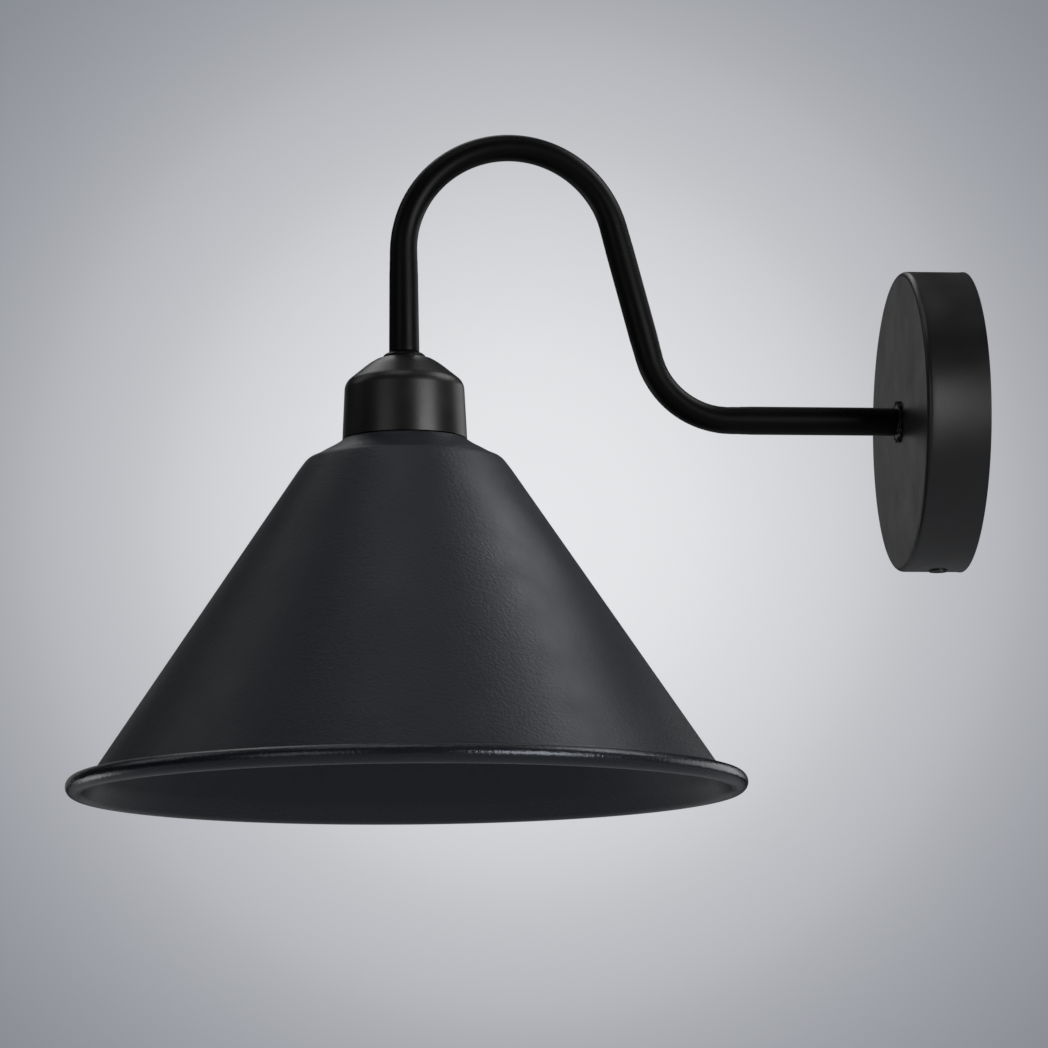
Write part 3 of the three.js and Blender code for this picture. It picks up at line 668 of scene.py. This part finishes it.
def skirt():
    """The threaded skirt: round-topped right-hand threads of 2 mm pitch under a plain flange."""
    pitch, depth = 2.0, 0.75
    first, last = FLANGE_FOOT - 3, SKIRT_FOOT + 1.6
    heights = [first + (last - first) * i / 118 for i in range(119)]

    def outline(angle):
        thread = []
        for h in heights:
            phase = (h / pitch - angle / TAU) % 1
            wave = 0.5 - 0.5 * math.cos(TAU * phase)
            ends = max(0, min(1, (first - h) / 1.5, (h - last) / 1.5))
            thread.append((SKIRT_RADIUS - depth + depth * wave ** 0.7 * ends, h))
        return ([(15.9, 1.5), (17.3, 1.5), (17.5, 1.3), (17.5, FLANGE_TOP), (22.1, FLANGE_TOP),
                 (22.4, FLANGE_TOP - 0.3), (22.4, FLANGE_FOOT), (SKIRT_RADIUS - depth, FLANGE_FOOT)] + thread
                + [(SKIRT_RADIUS - depth, SKIRT_FOOT + 1.2), (SKIRT_RADIUS - 1.2, SKIRT_FOOT + 0.2),
                   (SKIRT_RADIUS - 1.6, SKIRT_FOOT), (15.5, SKIRT_FOOT), (15.1, SKIRT_FOOT + 0.2),
                   (14.6, SKIRT_FOOT + 1.2), (14.6, -32.1), (15.2, -31.8), (15.2, -12.9), (15.9, -12.7)])

    return show("skirt_threaded", turned("skirt_threaded", outline, under_cup, 120), "holder_skirt", 50)


def shade_ring():
    """The ring nut under the shade's top, with scallops for the fingers round its flange."""
    top = SHADE_TOP - SHADE_SHEET - GAP
    bore = SKIRT_RADIUS + 0.12

    def outline(angle):
        grip = 0.5 - 0.5 * math.cos(24 * angle)
        rim = 26.15 - 0.85 * grip ** 2
        return eased([(bore, top), (23.4, top), (23.6, top - 0.2), (23.6, top - 3.4), (rim - 0.5, top - 3.9),
                      (rim, top - 4.5), (rim, top - 6.9), (rim - 0.6, top - 7.6),
                      (SKIRT_RADIUS + 0.7, top - 7.6), (bore, top - 7.1)], 0.25, 2)

    return show("shade_ring_fine", turned("shade_ring_fine", outline, under_cup, 288), "shade_ring", 50)


def screw_shell():
    """Thin brass rolled to the lamp cap's round right-hand thread, as a true helix."""
    top, foot, pitch = -13.2, -31.0, 3.63
    heights = [top + (foot - top) * i / 72 for i in range(73)]

    def outline(angle):
        face = []
        for h in heights:
            wave = 0.5 - 0.5 * math.cos(TAU * (h / pitch - angle / TAU))
            ends = max(0, min(1, (top - h) / 1.5, (h - foot) / 1.5))
            face.append((13.8 + 0.5 * wave * ends, h))
        return face + [(r - 0.4, h) for r, h in reversed(face)]

    rolled = turned("screw_shell_rolled", outline, under_cup, 120)
    return show("screw_shell_rolled", rolled, "screw_shell", 60)


def centre_contact():
    """The plunger: a rounded button below, a stem through the spring and a stop above."""
    outline = [(0.01, -15.6), (1.4, -15.55), (2.4, -15.3), (3.1, -14.9), (3.45, -14.4), (3.5, -14),
               (3.5, -13.1), (3.4, -13), (1.7, -13), (1.7, -3.2), (2.9, -3.2), (3, -3.1), (3, -2.6),
               (2.9, -2.5), (0.01, -2.5)]
    plunger = turned("centre_contact_fine", outline, under_cup, 64)
    return show("centre_contact_fine", plunger, "centre_contact")


def contact_spring():
    turns, low, high = 4, -12.45, -8.05
    steps = turns * 32
    line = with_directions([under_cup(2.75, TAU * turns * (i / steps), low + (high - low) * (i / steps))
                            for i in range(steps + 1)])
    coil = swept("contact_spring_fine", line, lambda i: circle(0.33 * MM, 12))
    return show("contact_spring_fine", coil, "contact_spring", 60)


# Where the screws stand --------------------------------------------------------------------------------
def at(x, y, z):
    """A shift in millimetres, for a piece drawn about its own axis with that axis up."""
    return lambda a, b, c: Vector((x + a, y + b, z + c)) * MM


def off_wall(up, y, out, spin=0.0):
    """Places a piece drawn about its own axis so that the axis points away from the wall."""
    c, s = math.cos(spin), math.sin(spin)
    return lambda a, b, h: Vector((-out - h, y + a * s + b * c, up + a * c - b * s)) * MM


def out_sideways(up, out, spin=0.0):
    """Places a side screw: its axis points up the wall, or down it where up is negative."""
    way = 1 if up > 0 else -1
    c, s = math.cos(spin), math.sin(spin)
    return lambda a, b, h: Vector((-out + way * (a * c - b * s), a * s + b * c, up + way * h)) * MM


# The pieces --------------------------------------------------------------------------------------------
shade()
cup()
collar()
arm()
rose()
tooth_washer()
nipple("rose_nipple_threaded", "rose_nipple", 15.5, 38, on_rose)
nipple("holder_nipple_threaded", "holder_nipple", 12.5, TUBE_FOOT + 11, under_cup)
supply_wire("live_wire_fine", "live_wire", -1)
supply_wire("neutral_wire_fine", "neutral_wire", 1)
earth_lead()
skirt()
shade_ring()
screw_shell()
centre_contact()
contact_spring()

# Each screw's sizes are its head's radius and height, then its shank's radius and length.
side_screw = (3.7, 0.5, 1.9, 6.5)
slotted_screw("side_screw_upper_fine", "rose_screw_upper", out_sideways(60.1, 10.7, 0.4), *side_screw, True)
slotted_screw("side_screw_lower_fine", "rose_screw_lower", out_sideways(-60.1, 10.7, 1.1), *side_screw, True)
slotted_screw("earth_screw_fine", "earth_screw", off_wall(-17, 0, 2.5, 0.7), 3.4, 2, 1.5, 2.2)
slotted_screw("block_fixing_screw_fine", "block_fixing_screw", off_wall(22, 0, 11.5, 0.3),
              2.9, 1.6, 1.45, 11.2, True)
for way, side in (("live", -1), ("neutral", 1)):
    for end, up, spin in (("lamp", 18, 0.5), ("supply", 26, 1.3)):
        slotted_screw(f"clamp_{way}_{end}_fine", f"clamp_screw_{way}_{end}",
                      off_wall(up, side * BLOCK_WAY, 10.55, spin + side), 1.7, 1.2, 1.3, 1.6)
for end, x in (("centre", -TERMINAL), ("side", TERMINAL)):
    slotted_screw(f"terminal_{end}_fine", f"terminal_screw_{end}", at(AXIS_X + x, 0, -3.3),
                  2.4, 1.5, 1.35, 4.6)

for node, edge in (("wall_bracket", 0.2), ("terminal_block", 0.35), ("clamp_sleeve_live", 0.1),
                   ("clamp_sleeve_neutral", 0.1), ("earth_tag_rose", 0.08), ("earth_tag_bracket", 0.08),
                   ("rose_washer", 0.12), ("rose_nut", 0.3), ("cup_nut", 0.3), ("holder_dome", 0.4),
                   ("contact_insert", 0.3), ("centre_terminal", 0.08), ("side_contact", 0.06)):
    refined(node, edge)


# Surroundings: a pale floor far below, a grey gradient behind and soft boxes, in metres ----------------
def surroundings():
    half, low = 12.0, -1.95
    mesh = bpy.data.meshes.new("floor")
    mesh.from_pydata([(-half, -half, low), (half, -half, low), (half, half, low), (-half, half, low)], [],
                     [(0, 1, 2, 3)])
    floor = bpy.data.objects.new("floor", mesh)
    material, nodes, links, shader, place = new_material("floor_pale")
    clouds = noise(nodes, links, place, 0.8, 3)
    links.new(blend_colours(nodes, links, clouds, (0.6, 0.61, 0.63), (0.66, 0.67, 0.69)),
              shader.inputs["Base Color"])
    shader.inputs["Roughness"].default_value = 0.8
    mesh.materials.append(material)
    bpy.context.scene.collection.objects.link(floor)


def look_vectors(yaw, pitch, roll):
    """The camera's right, up and back, from a level look along +Y. A positive yaw turns it toward -X and a
    negative pitch raises its gaze."""
    turn = Matrix.Rotation(yaw, 3, "Z")
    right, up, back = turn @ Vector((1, 0, 0)), turn @ Vector((0, 0, 1)), turn @ Vector((0, -1, 0))
    tilted_up = up * math.cos(pitch) - back * math.sin(pitch)
    tilted_back = back * math.cos(pitch) + up * math.sin(pitch)
    rolled_right = right * math.cos(roll) + tilted_up * math.sin(roll)
    rolled_up = tilted_up * math.cos(roll) - right * math.sin(roll)
    return rolled_right, rolled_up, tilted_back


CAMERA_PLACE = Vector((-0.3718, -1.8035, -0.3168))
RIGHT, UP, BACK = look_vectors(-0.1081, -0.1503, -0.0107)
MIDDLE = Vector((AXIS_X * MM + 0.02, 0, -0.05))     # what the soft boxes face


def camera():
    data = bpy.data.cameras.new("camera")
    data.sensor_width = 36
    data.lens = 159.8
    data.clip_start = 0.05
    data.clip_end = 60
    obj = bpy.data.objects.new("camera", data)
    bpy.context.scene.collection.objects.link(obj)
    obj.matrix_world = Matrix.Translation(CAMERA_PLACE) @ Matrix((RIGHT, UP, BACK)).transposed().to_4x4()
    bpy.context.scene.camera = obj


def world():
    """A grey sky that lights the lamp softly and evenly, while camera rays see it painted palest straight
    ahead: a painted pool of light on the backdrop.
    """
    sky = bpy.data.worlds.new("studio")
    bpy.context.scene.world = sky
    sky.use_nodes = True
    nodes, links = sky.node_tree.nodes, sky.node_tree.links
    place = nodes.new("ShaderNodeTexCoord")
    ahead = nodes.new("ShaderNodeVectorMath")
    ahead.operation = "DOT_PRODUCT"
    ahead.inputs[1].default_value = -BACK
    links.new(place.outputs["Generated"], ahead.inputs[0])
    angle = nodes.new("ShaderNodeMath")
    angle.operation = "ARCCOSINE"
    links.new(ahead.outputs["Value"], angle.inputs[0])
    # The ramp paints the backdrop that the camera sees palest straight ahead, a painted pool of light.
    ramp = nodes.new("ShaderNodeValToRGB")
    ramp.color_ramp.interpolation = "CARDINAL"
    stops = [(0.0, (0.79, 0.80, 0.82)), (0.2, (0.725, 0.735, 0.755)), (0.37, (0.575, 0.585, 0.61)),
             (0.52, (0.425, 0.435, 0.465)), (0.73, (0.268, 0.282, 0.31)), (1.0, (0.25, 0.265, 0.29))]
    for element, (_, colour) in zip(ramp.color_ramp.elements, (stops[0], stops[-1])):
        element.color = (*colour, 1)
    for position, colour in stops[1:-1]:
        ramp.color_ramp.elements.new(position).color = (*colour, 1)
    wide = nodes.new("ShaderNodeMapRange")
    wide.inputs["From Max"].default_value = math.radians(12)
    links.new(angle.outputs[0], wide.inputs["Value"])
    links.new(wide.outputs["Result"], ramp.inputs["Fac"])
    seen = nodes["Background"]
    links.new(ramp.outputs["Color"], seen.inputs["Color"])
    lit = nodes.new("ShaderNodeBackground")
    lit.inputs["Color"].default_value = (0.5, 0.52, 0.56, 1)
    lit.inputs["Strength"].default_value = 0.02
    path = nodes.new("ShaderNodeLightPath")
    mix = nodes.new("ShaderNodeMixShader")
    links.new(path.outputs["Is Camera Ray"], mix.inputs["Fac"])
    links.new(lit.outputs[0], mix.inputs[1])
    links.new(seen.outputs[0], mix.inputs[2])
    links.new(mix.outputs[0], nodes["World Output"].inputs["Surface"])


def softbox(name, azimuth, elevation, width, height, watts, distance=1.4):
    """A soft light that faces the lamp's middle. Azimuth 0 is in front, along -Y; 90 is toward the wall."""
    around, above = math.radians(azimuth), math.radians(elevation)
    level = math.cos(above)
    outward = Vector((math.sin(around) * level, -math.cos(around) * level, math.sin(above)))
    data = bpy.data.lights.new(name, "AREA")
    data.shape = "RECTANGLE"
    data.size, data.size_y = width, height
    data.energy = watts
    obj = bpy.data.objects.new(name, data)
    bpy.context.scene.collection.objects.link(obj)
    obj.location = MIDDLE + outward * distance
    obj.rotation_euler = outward.to_track_quat("Z", "Y").to_euler()
    obj.visible_camera = False


def floor_wash():
    """A broad light under the lamp that shines down and keeps the whole floor pale."""
    data = bpy.data.lights.new("floor_wash", "AREA")
    data.size = 28
    data.energy = 790
    obj = bpy.data.objects.new("floor_wash", data)
    bpy.context.scene.collection.objects.link(obj)
    obj.location = (AXIS_X * MM, 0, -0.75)
    obj.visible_camera = False


surroundings()
camera()
world()
softbox("key", 37, 6, 0.75, 0.6, 10.5)
softbox("side_right", 118, 9, 1.3, 0.6, 3.2)
softbox("high_right", 102, 47, 0.75, 0.7, 6)
softbox("high_behind", 188, 49, 0.8, 0.5, 2.2)
softbox("behind", 192, 10, 0.6, 0.6, 0.3)
softbox("side_left", -110, 38, 0.6, 0.8, 1.0)
softbox("low_left", -130, -14, 0.5, 0.4, 1.0)
softbox("fill_left", -40, 10, 0.7, 0.6, 1.4)
softbox("overhead", -40, 76, 0.4, 0.4, 0.5, 0.75)
floor_wash()

bpy.context.scene.view_settings.view_transform = "Standard"
bpy.context.scene.view_settings.look = "None"
bpy.context.view_layer.update()
